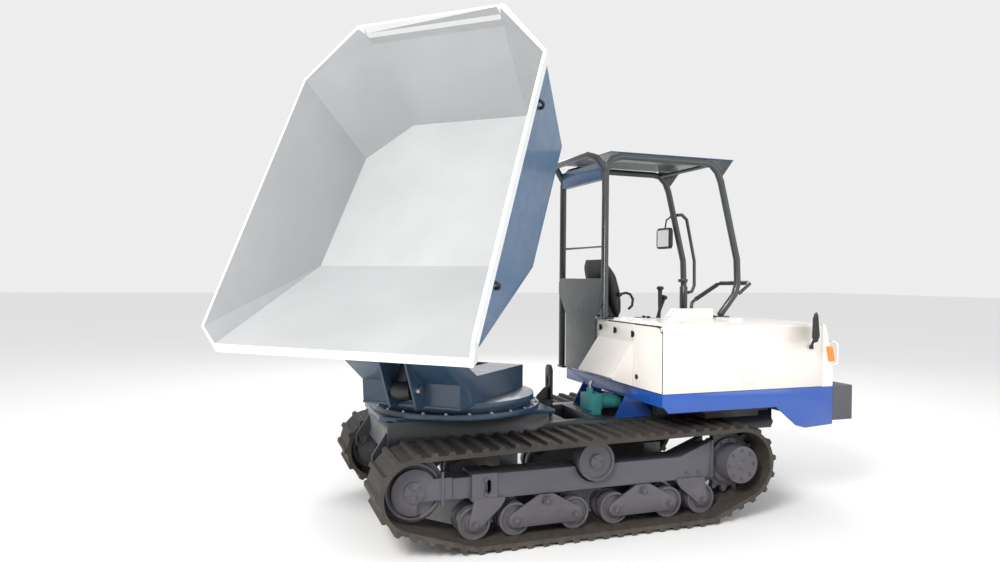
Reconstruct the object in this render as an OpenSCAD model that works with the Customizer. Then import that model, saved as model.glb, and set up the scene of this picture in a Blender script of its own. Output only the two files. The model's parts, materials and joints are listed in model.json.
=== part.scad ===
// Tracked carrier with a slewing, tipping skip. Millimetres.
// +X is the travel direction, +Z is up, and the origin is on the ground, on the
// centre line, midway along the stretch of belt that touches the ground.
// "Right" means the machine's right-hand side, at -Y.

/* [Pose] */
// Slewing angle of the skip, from pointing straight back
slew_angle = 47; // [0:0.1:90]
// Tipping angle of the skip, from lying level
tip_angle = 56.5; // [20:0.1:58]

/* [Undercarriage] */
// Distance between the centre lines of the two belts
track_gauge = 1118; // [1080:1:1160]
// Width of a belt
belt_w = 355; // [320:1:370]
// Thickness of the belt without its lugs
belt_t = 24; // [18:1:30]
// Height of a lug
lug_h = 19; // [12:1:19]
// Distance from one lug to the next
lug_pitch = 92; // [80:1:110]
// Idler axle, distance behind the origin
idler_back = 1050; // [1040:1:1080]
// Idler axle height
idler_z = 333; // [325:1:345]
// Idler wheel radius
idler_r = 177.5; // [170:0.5:180]
// Drive axle, distance ahead of the origin
sprocket_x = 951; // [945:1:970]
// Drive axle height
sprocket_z = 342; // [335:1:355]
// Inner radius of the belt round the drive sprocket
sprocket_r = 200; // [195:1:205]
// Bottom roller radius
roller_r = 91; // [85:0.5:91]
// Top roller radius
carrier_r = 110.5; // [100:0.5:112]
// Half the distance between the two rollers of a bogie
bogie_half = 179; // [176:1:182]
// How high the bottom rollers' axles sit
roller_z = 134.5; // [134.5:0.5:136]

/* [Chassis] */
// Width over the side skirts
deck_w = 1438; // [1400:2:1470]
// Height of the deck's top face
deck_z = 789; // [780:1:800]
// Rear face of the deck and hood
hood_rear_x = 394; // [385:1:405]
// Front face of the cowl
cowl_front_x = 1646; // [1630:1:1660]
// Height of the top of the hood
hood_top_z = 1190; // [1170:1:1210]

/* [Slewing ring and skip] */
// Slewing axis, distance behind the origin
slew_back = 641; // [635:1:650]
// Radius of the slewing ring's lower flange
ring_r = 517; // [500:1:525]
// Tipping hinge, distance from the slewing axis
hinge_a = 918; // [914:1:925]
// Tipping hinge height
hinge_z = 1147; // [1140:1:1160]
// Thickness of the skip's plates
skip_t = 6; // [4:0.5:8]
// Half-width of the skip over its rim flange, at the rear corners
skip_half_w = 767; // [740:1:775]

/* [Roof frame] */
// Y of the roof frame's right-hand posts
post_y0 = 10; // [0:1:20]
// Y of the roof frame's left-hand posts
post_y1 = 685; // [670:1:690]
// Radius of the roof frame's tubes
post_r = 24; // [20:1:26]
// X of the rear posts
post_x = 398; // [396:1:405]
// Height of the roof tubes
roof_z = 2290; // [2200:1:2320]

/* [Hidden] */
$fn = 48;
eps = 0.05;
right = -1;
left = 1;

track_y = track_gauge / 2;
idler_x = -idler_back;
slew_x = -slew_back;
carrier_x = 0;
carrier_z = idler_z + 89.5;
bogie_x = [-302, 314];
roller_x = [-717, bogie_x[0] - bogie_half, bogie_x[0] + bogie_half,
            bogie_x[1] - bogie_half, bogie_x[1] + bogie_half, 725];
bogie_z = 226.5;
pin_r = 15;
pivot_r = 20;
idler_pin_r = 30;
hub_r = 60;
fit = 0.05;

// ---- general shapes ---------------------------------------------------

// A straight round bar between two points.
module rod(a, b, r) {
    v = b - a;
    l = norm(v);
    translate(a)
        rotate([0, acos(v[2] / l), atan2(v[1], v[0])])
            cylinder(h = l, r = r);
}

function unit(v) = v / norm(v);
function leg(path, i) = unit(path[i + 1] - path[i]);
function mitre(path, i) =
    i == 0 ? leg(path, 0)
    : i == len(path) - 1 ? leg(path, i - 1)
    : unit(leg(path, i - 1) + leg(path, i));
function first_ring(d, r, n) =
    let (x = unit(cross(abs(d[2]) < 0.9 ? [0, 0, 1] : [1, 0, 0], d)), y = cross(d, x))
        [for (k = [0:n - 1]) r * (cos(360 * k / n) * x + sin(360 * k / n) * y)];
function cut_ring(ring, d, m) = [for (p = ring) p - d * (p * m) / (d * m)];
function ring_on(path, i, r, n) =
    i == 0 ? first_ring(leg(path, 0), r, n)
    : [for (p = cut_ring(ring_on(path, i - 1, r, n), leg(path, i - 1), mitre(path, i)))
        p - leg(path, i) * (p * leg(path, i))];

// A tube bent along a path, with mitred corners.
module pipe(path, r) {
    n = 16;
    last = len(path) - 1;
    points = [for (i = [0:last])
        let (on = min(i, last - 1))
            for (p = cut_ring(ring_on(path, on, r, n), leg(path, on), mitre(path, i)))
                path[i] + p];
    sides = [for (i = [0:last - 1])
        for (k = [0:n - 1])
            [i * n + k, (i + 1) * n + k, (i + 1) * n + (k + 1) % n, i * n + (k + 1) % n]];
    polyhedron(points = points,
               faces = concat([[for (k = [0:n - 1]) k]], sides,
                              [[for (k = [n - 1:-1:0]) last * n + k]]));
}

// A cylinder along Y.
module disc_y(x, z, r, y0, y1) {
    translate([x, y1, z])
        rotate([90, 0, 0])
            cylinder(h = y1 - y0, r = r);
}

// An outline in X and Z, thick along Y.
module plate_xz(outline, y0, y1) {
    translate([0, y1, 0])
        rotate([90, 0, 0])
            linear_extrude(y1 - y0) polygon(outline);
}

// An outline in Y and Z, thick along X.
module plate_yz(outline, x0, x1) {
    translate([x0, 0, 0])
        rotate([90, 0, 90])
            linear_extrude(x1 - x0) polygon(outline);
}

// A box given by two corners.
module block(low, high) {
    translate(low) cube(high - low);
}

// The space of one track: local +Y points outward from the belt's centre.
module on_side(side) {
    translate([0, side * track_y, 0])
        if (side == left) children();
        else mirror([0, 1, 0]) children();
}

// The slewing space: local +X is the discharge direction.
module on_slew() {
    translate([slew_x, 0, 0]) rotate([0, 0, 180 + slew_angle]) children();
}

// The skip's own space: the floor lies in Z = 0 and +X points at the lip.
hinge_s = 560;
hinge_n = 165;
module on_skip() {
    on_slew()
        translate([hinge_a, 0, hinge_z])
            rotate([0, tip_angle, 0])
                translate([-hinge_s, 0, -hinge_n]) children();
}

// ---- the belt's path ---------------------------------------------------

// Wheels that the belt wraps, counter-clockwise seen from the right: [x, z, r].
belt_gap = 0.5;
wheels = [[idler_x, idler_z, idler_r + belt_gap],
          [roller_x[0], roller_z, roller_r + belt_gap],
          [roller_x[5], roller_z, roller_r + belt_gap],
          [sprocket_x, sprocket_z, sprocket_r],
          [carrier_x, carrier_z, carrier_r + belt_gap]];
wheel_n = len(wheels);
function wheel(i) = wheels[(i + wheel_n) % wheel_n];
// Angle of the belt's outward normal on the straight from wheel i to the next.
function straight_angle(i) =
    let (a = wheel(i), b = wheel(i + 1), d = [b[0] - a[0], b[1] - a[1]])
        atan2(d[1], d[0]) - acos((a[2] - b[2]) / norm(d));
function turn(a) = a < 0 ? turn(a + 360) : a >= 360 ? turn(a - 360) : a;
function wrap_start(i) = straight_angle(i - 1);
function wrap_sweep(i) = turn(straight_angle(i) - straight_angle(i - 1));
function straight_length(i) =
    let (a = wheel(i), b = wheel(i + 1), d = norm([b[0] - a[0], b[1] - a[1]]))
        sqrt(d * d - pow(a[2] - b[2], 2));
function on_wheel(i, angle, out) =
    [wheel(i)[0] + (wheel(i)[2] + out) * cos(angle),
     wheel(i)[1] + (wheel(i)[2] + out) * sin(angle)];
wrap_steps = [24, 3, 3, 24, 2];
function belt_outline(out) = [
    for (i = [0:wheel_n - 1])
        for (k = [0:wrap_steps[i]])
            on_wheel(i, wrap_start(i) + wrap_sweep(i) * k / wrap_steps[i], out)];
function wrap_length(i) = PI * wheel(i)[2] * wrap_sweep(i) / 180;
// Position and outward normal at a distance along the belt's inner face.
function belt_at(s, i = 0) =
    s < wrap_length(i)
        ? let (a = wrap_start(i) + wrap_sweep(i) * s / wrap_length(i))
            [on_wheel(i, a, 0), a]
        : s < wrap_length(i) + straight_length(i) || i == wheel_n - 1
            ? let (a = straight_angle(i), d = s - wrap_length(i))
                [on_wheel(i, a, 0) + d * [-sin(a), cos(a)], a]
            : belt_at(s - wrap_length(i) - straight_length(i), i + 1);
function belt_length(i = 0) =
    i == wheel_n ? 0 : wrap_length(i) + straight_length(i) + belt_length(i + 1);
lug_count = round(belt_length() / lug_pitch);

module track_belt(side) {
    lug_root = 46;
    lug_tip = 24;
    on_side(side) color("dimgray") {
        difference() {
            plate_xz(belt_outline(belt_t), -belt_w / 2, belt_w / 2);
            plate_xz(belt_outline(0), -belt_w / 2 - 1, belt_w / 2 + 1);
        }
        for (k = [0:lug_count - 1]) {
            place = belt_at(k * belt_length() / lug_count);
            translate([place[0][0], 0, place[0][1]])
                rotate([0, 90 - place[1], 0])
                    plate_xz([[-lug_root / 2, belt_t - 2], [lug_root / 2, belt_t - 2],
                              [lug_tip / 2, belt_t + lug_h],
                              [-lug_tip / 2, belt_t + lug_h]],
                             -belt_w / 2, belt_w / 2);
        }
    }
}

// ---- undercarriage -----------------------------------------------------

beam_y = 78;
beam_z0 = 263;
beam_z1 = 397;
plate_in = 80;
plate_out = 92;
beam_rear_x = -735;
beam_front_x = 802;
sprocket_plate_y = -72;

// Pair of hanger plates that hold a single roller, with its axle.
module roller_bracket(x, top_x0, top_x1) {
    for (y = [-plate_out, plate_in])
        translate([0, y + plate_out - plate_in, 0])
            rotate([90, 0, 0])
                linear_extrude(plate_out - plate_in) hull() {
                    translate([x, roller_z]) circle(r = 36);
                    polygon([[top_x0, 250], [top_x0 + 25, 215],
                             [top_x1 - 25, 215], [top_x1, 250],
                             [top_x1, beam_z0 + 8], [top_x0, beam_z0 + 8]]);
                }
    block([top_x0, -plate_out, 250], [top_x1, plate_out, beam_z0 + 8]);
    disc_y(x, roller_z, pin_r, -plate_out - 4, plate_out + 4);
}

// Slot in the beam's front end that the sprocket's teeth pass through.
module sprocket_notch() {
    block([beam_front_x - 58, -25, 250], [beam_front_x + 1, 25, 490]);
}

module track_frame(side) {
    wall = 10;
    slider_x = -590;
    motor_body_r = 88.5;
    on_side(side) color("slategray") {
        difference() {
            union() {
                // The beam rises towards the drive end.
                plate_xz([[beam_rear_x, beam_z0], [beam_front_x - 14, beam_z0],
                          [beam_front_x - 14, 478], [570, beam_z1],
                          [beam_rear_x, beam_z1]], -beam_y, beam_y);
                // Collar round the end that the idler's slider enters.
                block([beam_rear_x, -plate_out + 4, beam_z0 - 6],
                      [slider_x, plate_out - 4, beam_z1 + 6]);
            }
            // Socket for the idler's slider.
            block([beam_rear_x - 1, -beam_y + wall, beam_z0 + wall],
                  [slider_x, beam_y - wall, beam_z1 - wall]);
            // Oval hand hole in the collar.
            for (z = [310, 350])
                disc_y(-645, z, 20, beam_y - wall - 1, plate_out + 1);
            block([-665, beam_y - wall - 1, 310], [-625, plate_out + 1, 350]);
            // Arch that the top roller turns in.
            disc_y(carrier_x, carrier_z, carrier_r + 12, 4, beam_y + 1);
            disc_y(carrier_x, carrier_z, carrier_r + 12, -beam_y - 1, -60);
            sprocket_notch();
        }
        // Stub axle of the top roller.
        disc_y(carrier_x, 374, 34, -60, 4);
        block([-34, -60, 374], [34, 4, carrier_z]);
        disc_y(carrier_x, carrier_z, 34, -60, 4);
        disc_y(carrier_x, carrier_z, 25, 3, 104);
        // Drive end: flange, side plate and the ring that the motor bolts to.
        difference() {
            block([beam_front_x - 14, -beam_y - 8, 262], [beam_front_x, beam_y + 8, 486]);
            sprocket_notch();
        }
        difference() {
            union() {
                block([beam_front_x - 1, sprocket_plate_y - 20, 280],
                      [sprocket_x, sprocket_plate_y, 405]);
                disc_y(sprocket_x, sprocket_z, 128, sprocket_plate_y - 20, sprocket_plate_y);
            }
            disc_y(sprocket_x, sprocket_z, motor_body_r, sprocket_plate_y - 21,
                   sprocket_plate_y + 1);
        }
        roller_bracket(roller_x[0], -720, -548);
        roller_bracket(roller_x[5], 545, 735);
        // Hangers and pins of the two bogies.
        for (x = bogie_x) {
            plate_xz([[x - 60, beam_z0 + 1], [x - 26, bogie_z - 34], [x + 26, bogie_z - 34],
                      [x + 60, beam_z0 + 1]], -60, 60);
            disc_y(x, bogie_z, pivot_r, -plate_out - 6, plate_out + 6);
        }
    }
}

module idler(side) {
    rim_r = 152;
    on_side(side) color("slategray") difference() {
        union() {
            disc_y(idler_x, idler_z, idler_r, -20, 20);
            disc_y(idler_x, idler_z, rim_r, -60, 60);
            disc_y(idler_x, idler_z, 62, -64, 64);
        }
        disc_y(idler_x, idler_z, idler_pin_r + fit, -65, 65);
        // The rims are hollowed down to the web.
        for (y = [-61, 45])
            rotate([90, 0, 0])
                translate([idler_x, idler_z, -y - 16])
                    linear_extrude(16) difference() {
                        circle(r = rim_r - 16);
                        circle(r = 62);
                    }
    }
}

module idler_yokes() {
    fork_in = 68;
    fork_out = 80;
    flange_x = -905;
    slider_x = -864;
    for (side = [right, left]) on_side(side) color("slategray") {
        // Fork plates: a disc round the axle, notched below, and an arm.
        for (y = [-fork_out, fork_in])
            difference() {
                union() {
                    disc_y(idler_x, idler_z, 122, y, y + fork_out - fork_in);
                    block([idler_x + 40, y, 281], [slider_x + 18, y + fork_out - fork_in, 396]);
                }
                block([idler_x + 15, y - 1, 200], [flange_x, y + fork_out - fork_in + 1, 281]);
            }
        // Axle with its two round caps.
        disc_y(idler_x, idler_z, idler_pin_r, -fork_out, fork_out);
        for (y = [-fork_out - 8, fork_out - 1])
            disc_y(idler_x, idler_z, 57, y, y + 9);
        for (y = [-88, fork_out - 14])
            block([flange_x, y, 250], [flange_x + 14, y + 22, 432]);
        // Slider that runs in the beam's socket.
        block([slider_x, -67, 274], [-640, 67, 386]);
        block([slider_x, -fork_in - 1, 281], [slider_x + 18, fork_in + 1, 386]);
    }
}

module drive_motors() {
    for (side = [right, left]) on_side(side) color("slategray") {
        disc_y(sprocket_x, sprocket_z, 87.5, -165, -50);
        difference() {
            disc_y(sprocket_x, sprocket_z, 126, sprocket_plate_y, -50);
            // Bolt holes of the mounting flange.
            for (a = [0:30:330])
                disc_y(sprocket_x + 108 * cos(a), sprocket_z + 108 * sin(a), 6,
                       sprocket_plate_y - 1, -49);
        }
        disc_y(sprocket_x, sprocket_z, hub_r, -51, 120);
        // Port block for the hoses.
        block([sprocket_x - 190, -160, sprocket_z - 40],
              [sprocket_x - 40, -100, sprocket_z + 40]);
    }
}

module sprocket(side) {
    teeth = 15;
    tip_r = sprocket_r - 1;
    root_r = sprocket_r - 34;
    cap_r = 111;
    pitch = 360 / teeth;
    outline = [for (k = [0:teeth - 1])
        for (p = [[-0.33, root_r], [-0.27, root_r + 5], [-0.13, tip_r - 5], [-0.09, tip_r],
                  [0.09, tip_r], [0.13, tip_r - 5], [0.27, root_r + 5], [0.33, root_r]])
            [sprocket_x + p[1] * cos((k + p[0]) * pitch),
             sprocket_z + p[1] * sin((k + p[0]) * pitch)]];
    on_side(side) color("slategray") difference() {
        union() {
            plate_xz(outline, -20, 20);
            disc_y(sprocket_x, sprocket_z, 140, 18, 46);
            disc_y(sprocket_x, sprocket_z, cap_r, 40, 168);
        }
        disc_y(sprocket_x, sprocket_z, hub_r + fit, -21, 122);
    }
}

module carrier_roller(side) {
    on_side(side) color("slategray") difference() {
        union() {
            disc_y(carrier_x, carrier_z, carrier_r, 10, 112);
            disc_y(carrier_x, carrier_z, 40, 110, 118);
        }
        disc_y(carrier_x, carrier_z, 25 + fit, 9, 106);
        translate([carrier_x, 113, carrier_z])
            rotate([90, 0, 0])
                linear_extrude(14) difference() {
                    circle(r = carrier_r - 14);
                    circle(r = 40);
                }
    }
}

module roller(side, i) {
    on_side(side) color("slategray") difference() {
        union() {
            for (y = [-74, 20]) disc_y(roller_x[i - 1], roller_z, roller_r, y, y + 54);
            disc_y(roller_x[i - 1], roller_z, 50, -76, 76);
        }
        disc_y(roller_x[i - 1], roller_z, pin_r + fit, -77, 77);
        // Dished outer faces.
        for (y = [-75, 63])
            translate([roller_x[i - 1], y + 12, roller_z])
                rotate([90, 0, 0])
                    linear_extrude(12) difference() {
                        circle(r = roller_r - 14);
                        circle(r = 50);
                    }
    }
}

module bogie(side, i) {
    x = bogie_x[i];
    axle_boss = 42;
    on_side(side) color("slategray") difference() {
        union() {
            for (y = [-plate_out, plate_in])
                translate([0, y + plate_out - plate_in, 0])
                    rotate([90, 0, 0])
                        linear_extrude(plate_out - plate_in) hull() {
                            for (dx = [-bogie_half, bogie_half])
                                translate([x + dx, roller_z]) circle(r = axle_boss);
                            translate([x - 45, bogie_z]) square([90, 34]);
                        }
            // Tie block between the two plates.
            block([x - 60, -plate_in, 118], [x + 60, plate_in, 158]);
            for (dx = [-bogie_half, bogie_half])
                disc_y(x + dx, roller_z, pin_r, -plate_out - 4, plate_out + 4);
        }
        disc_y(x, bogie_z, pivot_r + fit, -plate_out - 5, plate_out + 5);
    }
}

// ---- chassis and slewing ring -------------------------------------------

rail_in = 250;
rail_out = 330;
rail_z0 = 460;
rail_z1 = 585;
top_plate_z = 644;
ring_z0 = 668;
ring_z1 = 697;
table_z0 = 725;
table_z1 = 757;
spigot_r = 250;

module chassis_frame() {
    lug_hole_r = 20;
    color("darkslateblue") {
        for (side = [right, left]) {
            y0 = side == left ? rail_in : -rail_out;
            block([-1130, y0, rail_z0], [1500, y0 + rail_out - rail_in, rail_z1]);
            // Lashing lugs at both ends of each rail.
            difference() {
                union() {
                    plate_xz([[-1212, 392], [-1165, 388], [-1110, 450], [-1130, rail_z1],
                              [-1212, 460]], y0 + 30, y0 + 50);
                    plate_xz([[1500, rail_z0], [1525, 462], [1540, 490], [1525, 520],
                              [1500, rail_z1]], y0 + 30, y0 + 50);
                }
                disc_y(-1180, 424, lug_hole_r, y0 + 29, y0 + 51);
                disc_y(1515, 492, 12, y0 + 29, y0 + 51);
            }
            // Longitudinal bearers under the deck and the engine.
            engine_bearer_y = side == left ? 270 : -320;
            block([600, engine_bearer_y, rail_z1 - 1],
                  [cowl_front_x - 12, engine_bearer_y + 50, deck_z - 6]);
        }
        // Cross tubes to the track frames.
        for (x = [-520, 420])
            block([x, -track_y + beam_y, 300], [x + 110, track_y - beam_y, rail_z0]);
        for (x = [-1130, 200, 1420])
            block([x, -rail_in, rail_z0], [x + 80, rail_in, rail_z1]);
        // Pedestal of the slewing ring.
        difference() {
            block([-1130, -rail_out, rail_z1 - 1], [-150, rail_out, top_plate_z]);
            translate([slew_x, 0, rail_z0]) cylinder(h = 260, r = 180);
        }
    }
}

module slew_ring() {
    color("steelblue") difference() {
        union() {
            translate([slew_x, 0, ring_z0]) cylinder(h = ring_z1 - ring_z0, r = ring_r);
            translate([slew_x, 0, ring_z1 - 1]) cylinder(h = 45, r = spigot_r);
            // Mounting plate that the ring stands on.
            translate([0, 0, top_plate_z])
                linear_extrude(ring_z0 - top_plate_z + 1)
                    polygon([[-1165, -250], [-1165, 250], [-1085, 330], [-110, 330],
                             [-110, -330], [-1085, -330]]);
        }
        translate([slew_x, 0, top_plate_z - 1]) cylinder(h = 110, r = 180);
        for (a = [7.5:15:352.5])
            translate([slew_x + 500 * cos(a), 500 * sin(a), ring_z0 - 1])
                cylinder(h = 40, r = 6.5);
    }
}

module lifting_plate() {
    x0 = -100;
    x1 = 0;
    color("black") difference() {
        union() {
            plate_yz([[-46, top_plate_z], [46, top_plate_z], [46, 868], [22, 897],
                      [-22, 897], [-46, 868]], x0 + 84, x1);
            plate_xz([[x0 - 5, top_plate_z + 24], [x0 + 85, top_plate_z + 24], [x0 + 85, 752],
                      [x0 + 60, 752], [x0 + 8, 700]], -6, 6);
            block([x0 - 5, -46, top_plate_z + 24], [x0 + 85, 46, top_plate_z + 32]);
            block([x0 - 5, -46, rail_z1], [x1, 46, top_plate_z + 24]);
            block([x0 - 5, -rail_in, rail_z1 - 40], [x1, rail_in, rail_z1]);
        }
        // Keyhole for the locking pin: a slot with a narrow neck above it.
        translate([x0 + 83, -9, 770]) cube([20, 18, 34]);
        for (z = [770, 804])
            translate([x0 + 83, 0, z]) rotate([0, 90, 0]) cylinder(h = 20, r = 9);
    }
}

cheek_y = 309;
cheek_t = 12;
rib_y = 75;
base_pin_a = 622;
base_pin_z = 850;
base_pin_r = 24;
hinge_pin_r = 30;

// Side profile of the turntable's box and its raised arm.
arm_profile = [[-355, table_z1 - 1], [-355, 898], [350, 908], [560, 1017], [880, 1186],
               [935, 1202], [972, 1150], [955, 1112], [905, 1122], [786, 1037], [567, 881],
               [555, table_z1 - 12], [300, table_z1 - 12]];

module turntable() {
    on_slew() color("steelblue") difference() {
        union() {
            translate([0, 0, table_z0]) cylinder(h = table_z1 - table_z0, r = 485);
            translate([0, 0, ring_z1 + 3]) cylinder(h = table_z0 - ring_z1, r = 468);
            block([300, -cheek_y, table_z1 - 12], [560, cheek_y, table_z1]);
            for (y = [-cheek_y, cheek_y - cheek_t]) plate_xz(arm_profile, y, y + cheek_t);
            for (y = [-rib_y - cheek_t, rib_y]) {
                plate_xz(arm_profile, y, y + cheek_t);
                plate_xz([[550, table_z1 - 12], [640, table_z1 - 12], [668, 810],
                          [770, 1030], [560, 890]], y, y + cheek_t);
            }
            // Plates that close each side of the box and arm, open in the middle.
            for (y0 = [-cheek_y + cheek_t, rib_y + cheek_t]) {
                y1 = y0 + cheek_y - rib_y - 2 * cheek_t;
                plate_xz([[-355, table_z1 - 1], [-355, 898], [350, 908], [880, 1186],
                          [884, 1175], [352, 896], [-343, 886], [-343, table_z1 - 1]],
                         y0, y1);
                plate_xz([[555, table_z1 - 1], [567, 881], [786, 1037], [905, 1122],
                          [898, 1132], [781, 1049], [556, 889], [545, table_z1 - 1]],
                         y0, y1);
            }
            block([-355, -rib_y, table_z1 - 1], [-343, rib_y, 898]);
        }
        translate([0, 0, ring_z1 - 1]) cylinder(h = 90, r = spigot_r + fit);
        disc_y(hinge_a, hinge_z, hinge_pin_r, -cheek_y - 1, cheek_y + 1);
        disc_y(base_pin_a, base_pin_z, base_pin_r, -cheek_y - 1, cheek_y + 1);
    }
}

module pivot_pins() {
    on_slew() color("silver") {
        for (y = [-365, 215]) disc_y(hinge_a, hinge_z, hinge_pin_r, y, y + 150);
        disc_y(base_pin_a, base_pin_z, base_pin_r, -rib_y - 30, rib_y + 30);
    }
}

// ---- tip cylinder --------------------------------------------------------

// Rod end on the skip, in the skip's space.
rod_pin_s = -458;
rod_pin_n = -60;
rod_pin_a = hinge_a + (rod_pin_s - hinge_s) * cos(tip_angle)
            + (rod_pin_n - hinge_n) * sin(tip_angle);
rod_pin_z = hinge_z - (rod_pin_s - hinge_s) * sin(tip_angle)
            + (rod_pin_n - hinge_n) * cos(tip_angle);
cyl_rise = atan2(rod_pin_z - base_pin_z, rod_pin_a - base_pin_a);
cyl_len = norm([rod_pin_a - base_pin_a, rod_pin_z - base_pin_z]);
barrel_l = 560;
cyl_rod_r = 30;

// The cylinder's own space: +X runs from the base pin to the rod's eye.
module on_cylinder() {
    on_slew()
        translate([base_pin_a, 0, base_pin_z])
            rotate([0, -cyl_rise, 0]) children();
}

module along_x(x0, x1, r) {
    translate([x0, 0, 0]) rotate([0, 90, 0]) cylinder(h = x1 - x0, r = r);
}

module cylinder_barrel() {
    on_cylinder() color("dimgray") difference() {
        union() {
            along_x(30, barrel_l, 55);
            along_x(barrel_l - 40, barrel_l + 6, 62);
            disc_y(0, 0, 56, -55, 55);
        }
        along_x(72, barrel_l - 30, 44);
        along_x(barrel_l - 31, barrel_l + 7, cyl_rod_r + fit);
        disc_y(0, 0, base_pin_r + fit, -56, 56);
    }
}

module cylinder_rod() {
    piston_x = cyl_len - 625;
    on_cylinder() color("silver") difference() {
        union() {
            along_x(piston_x, cyl_len - 30, cyl_rod_r);
            along_x(piston_x, piston_x + 36, 43.6);
            disc_y(cyl_len, 0, 42, -34, 34);
        }
        disc_y(cyl_len, 0, 20, -35, 35);
    }
}

// ---- skip ----------------------------------------------------------------

function mirrored(points) = concat(points, [for (p = points) [p[0], -p[1], p[2]]]);
module hull_of(points) {
    hull() polyhedron(points = points, faces = [[for (i = [0:len(points) - 1]) i]]);
}

rim_w = 15;
rim_h = 48;
// Rim corners, outside the flange: rear, rear side, front side and front tip.
rim_rear = [-1240, 476, 732];
rim_side = [-903, skip_half_w, 657];
rim_front = [732, 752, 539];
rim_tip = [808, 716, 415];
// Inner corners: floor, lip plate's end, the fold near the rear wall's top, and
// the walls' top edges.
skip_inner = [[-1133, 404, 0], [-858, 674, 0], [0, 676, 0], [776, 706, 451],
              [-1225, 432, 601],
              [-1208, 462, 732], [-893, skip_half_w - rim_w, 657], [732, 752 - rim_w, 539]];
up = [0, 0, 160];

module skip_shell() {
    on_skip() color("lightgray") difference() {
        union() {
            hull_of(mirrored([for (p = skip_inner)
                [p[0] + (p[0] < -1000 ? -skip_t : 0), p[1] + skip_t,
                 p[2] - (p[2] < 500 ? skip_t : 0)]]));
            // Rim flange, and the box section along the lip.
            hull_of(mirrored([for (p = [rim_rear, rim_side, rim_front])
                for (d = [0, rim_h]) p - [0, 0, d]]));
            hull_of(mirrored([rim_front, rim_front - [30, 0, 30], rim_tip,
                              rim_tip - [42, 0, 24], [690, 706, 402]]));
        }
        hull_of(mirrored(concat(skip_inner, [for (p = skip_inner) p + up],
                                [[948, 706, 551], [948, 706, 900]])));
    }
}

module skip_subframe() {
    beam_h = 62;
    lug_in = cheek_y + 10;
    lug_out = cheek_y + 34;
    top = -skip_t;
    on_skip() color("steelblue") difference() {
        union() {
            for (y = [-lug_out, lug_in]) {
                block([-1000, y, top - beam_h], [-10, y + lug_out - lug_in, top]);
                // Hinge lug under the lip plate.
                plate_xz([[-60, top - beam_h], [-60, top], [0, top], [640, 355], [660, 300],
                          [hinge_s + 62, hinge_n - 20], [hinge_s + 30, hinge_n - 58],
                          [hinge_s - 30, hinge_n - 58], [250, top - beam_h]],
                         y, y + lug_out - lug_in);
            }
            // Cross members, shallow where the cylinder lies under them.
            for (m = [[-1000, 40], [-560, 40], [-350, 22], [-60, 26]])
                block([m[0], -lug_out, top - m[1]], [m[0] + 24, lug_out, top]);
            // Clevis for the cylinder's rod.
            for (y = [-64, 46])
                plate_xz([[rod_pin_s - 90, top], [rod_pin_s + 90, top],
                          [rod_pin_s + 45, rod_pin_n - 30], [rod_pin_s + 20, rod_pin_n - 46],
                          [rod_pin_s - 20, rod_pin_n - 46], [rod_pin_s - 45, rod_pin_n - 30]],
                         y, y + 18);
        }
        disc_y(hinge_s, hinge_n, hinge_pin_r + fit, -lug_out - 1, lug_out + 1);
        disc_y(rod_pin_s, rod_pin_n, 20, -65, 65);
    }
}

module lashing_hooks() {
    // [along the skip, half-width where the hook's ends touch, height]
    hooks = [[-640, 745.2, 540], [420, 736.9, 475]];
    wall_lean = 6.5;
    on_skip() color("black")
        for (h = hooks)
            for (side = [right, left])
                translate([h[0], side * h[1], h[2]])
                    rotate([90, 0, 90])
                        linear_extrude(14)
                            rotate(-side * wall_lean) difference() {
                                circle(r = 34);
                                circle(r = 20);
                                translate([side == left ? -35 : 0, -35]) square([35, 70]);
                            }
}

// ---- deck, hood and cowl ---------------------------------------------------

half_w = deck_w / 2;
bulkhead_y = -56;
hood_t = 4;
hood_front_x = 1556;
hood_gap = 3;

module side_frame() {
    skirt = [[hood_rear_x, deck_z], [408, 709], [437, 679], [1206, 679], [1273, 625],
             [1362, 554], [1430, 536], [cowl_front_x, 548], [cowl_front_x, deck_z]];
    color("royalblue") {
        plate_xz(skirt, -half_w, -half_w + 10);
        plate_xz([for (p = skirt) [max(p[0], hood_rear_x + 130), p[1]]], half_w - 10, half_w);
        // Rear beam, and the triangular posts that carry it.
        block([hood_rear_x, -half_w, deck_z - 76], [hood_rear_x + 12, 590, deck_z - 5]);
        for (y = [-306, 294])
            plate_xz([[312, rail_z1], [583, rail_z1], [462, deck_z - 6], [407, deck_z - 6],
                      [407, deck_z - 30]], y, y + 12);
        block([cowl_front_x - 12, -half_w, 548], [cowl_front_x, half_w, deck_z]);
        // Deck plate, open over the engine.
        difference() {
            translate([0, 0, deck_z - 6])
                linear_extrude(6)
                    polygon([[hood_rear_x, -half_w], [cowl_front_x, -half_w],
                             [cowl_front_x, half_w], [hood_rear_x + 130, half_w],
                             [hood_rear_x, 590]]);
            block([540, -half_w + 110, deck_z - 7], [1480, bulkhead_y - 60, deck_z + 1]);
        }
    }
}

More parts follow.
